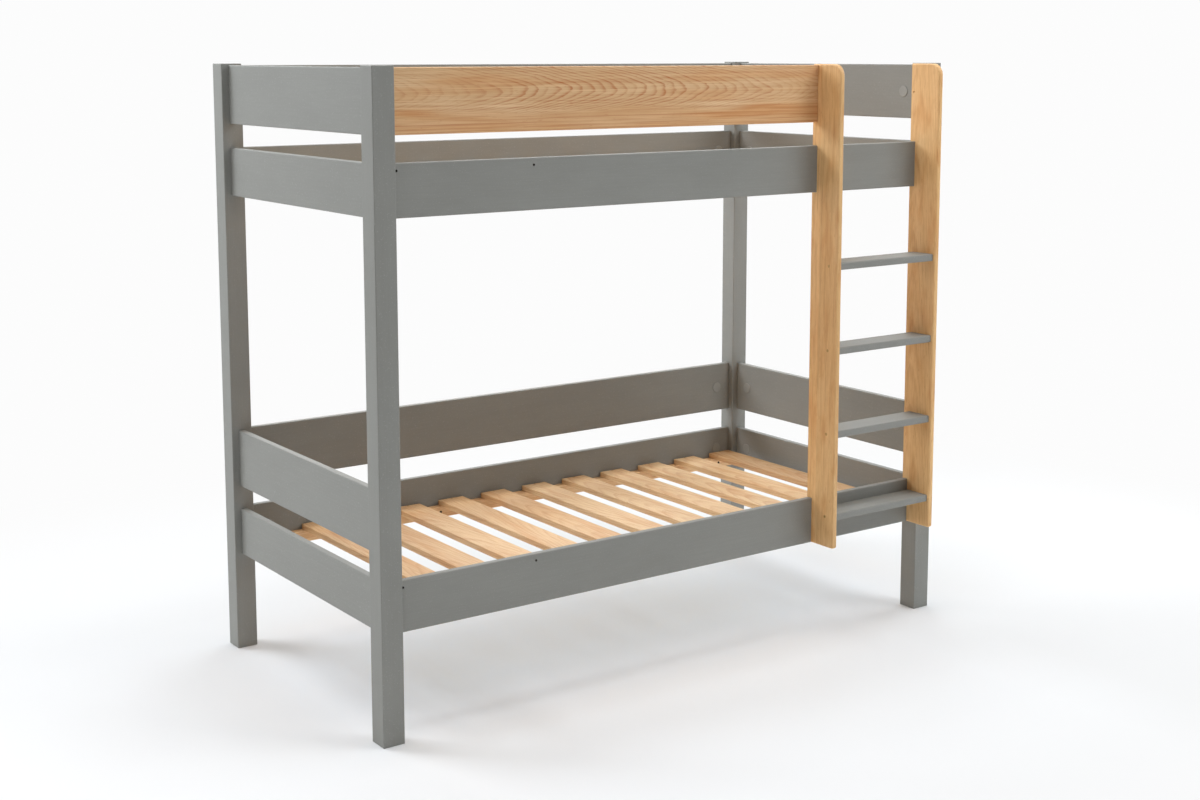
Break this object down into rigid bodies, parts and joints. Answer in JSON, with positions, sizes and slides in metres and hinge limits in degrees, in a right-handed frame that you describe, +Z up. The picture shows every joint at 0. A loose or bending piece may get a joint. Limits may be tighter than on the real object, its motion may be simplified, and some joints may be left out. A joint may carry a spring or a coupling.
{
  "type": "bunk bed",
  "caption": "Straight bunk bed in grey-painted and natural wood, with guard boards, slatted bases and a vertical ladder at one end of its front.",
  "frame": {"origin": "on the floor, at the middle of the bounding box in plan: midway between the bed's ends, and midway between the ladder's front edges and the back posts' back faces", "axes": "+X along the bed, from its left end to the end with the ladder; +Y from the front, where the ladder is, to the back; +Z up"},
  "size_m": [2, 1.067, 1.762],
  "materials": {
    "grey_paint": "satin",
    "natural_wood": "satin",
    "dowel_wood": "matte",
    "steel": "satin",
    "yellow_zinc": "satin",
    "grey_plastic": "matte"
  },
  "bodies": {
    "root": {"front_left_post": "grey_paint", "front_right_post": "grey_paint", "back_left_post": "grey_paint", "back_right_post": "grey_paint", "front_upper_rail": "grey_paint", "front_lower_rail": "grey_paint", "front_upper_guard": "natural_wood", "back_upper_guard": "grey_paint", "back_upper_rail": "grey_paint", "back_lower_guard": "grey_paint", "back_lower_rail": "grey_paint", "left_upper_guard": "grey_paint", "left_upper_rail": "grey_paint", "left_lower_guard": "grey_paint", "left_lower_rail": "grey_paint", "right_upper_guard": "grey_paint", "right_upper_rail": "grey_paint", "right_lower_guard": "grey_paint", "right_lower_rail": "grey_paint", "ladder_left_upright": "natural_wood", "ladder_right_upright": "natural_wood", "ladder_rung_1": "grey_paint", "ladder_rung_2": "grey_paint", "ladder_rung_3": "grey_paint", "ladder_rung_4": "grey_paint", "front_upper_batten": "natural_wood", "back_upper_batten": "natural_wood", "front_lower_batten": "natural_wood", "back_lower_batten": "natural_wood", "lower_slat_1": "natural_wood", "lower_slat_2": "natural_wood", "lower_slat_3": "natural_wood", "lower_slat_4": "natural_wood", "lower_slat_5": "natural_wood", "lower_slat_6": "natural_wood", "lower_slat_7": "natural_wood", "lower_slat_8": "natural_wood", "lower_slat_9": "natural_wood", "lower_slat_10": "natural_wood", "lower_slat_11": "natural_wood", "lower_slat_12": "natural_wood", "upper_slat_1": "natural_wood", "upper_slat_2": "natural_wood", "upper_slat_3": "natural_wood", "upper_slat_4": "natural_wood", "upper_slat_5": "natural_wood", "upper_slat_6": "natural_wood", "upper_slat_7": "natural_wood", "upper_slat_8": "natural_wood", "upper_slat_9": "natural_wood", "upper_slat_10": "natural_wood", "upper_slat_11": "natural_wood", "upper_slat_12": "natural_wood", "bed_bolts": "steel", "crescent_washers": "steel", "bolt_nuts": "steel", "cover_caps": "grey_plastic", "dowels": "dowel_wood", "ladder_screws": "yellow_zinc", "wood_screws": "yellow_zinc"}
  },
  "joints": []
}
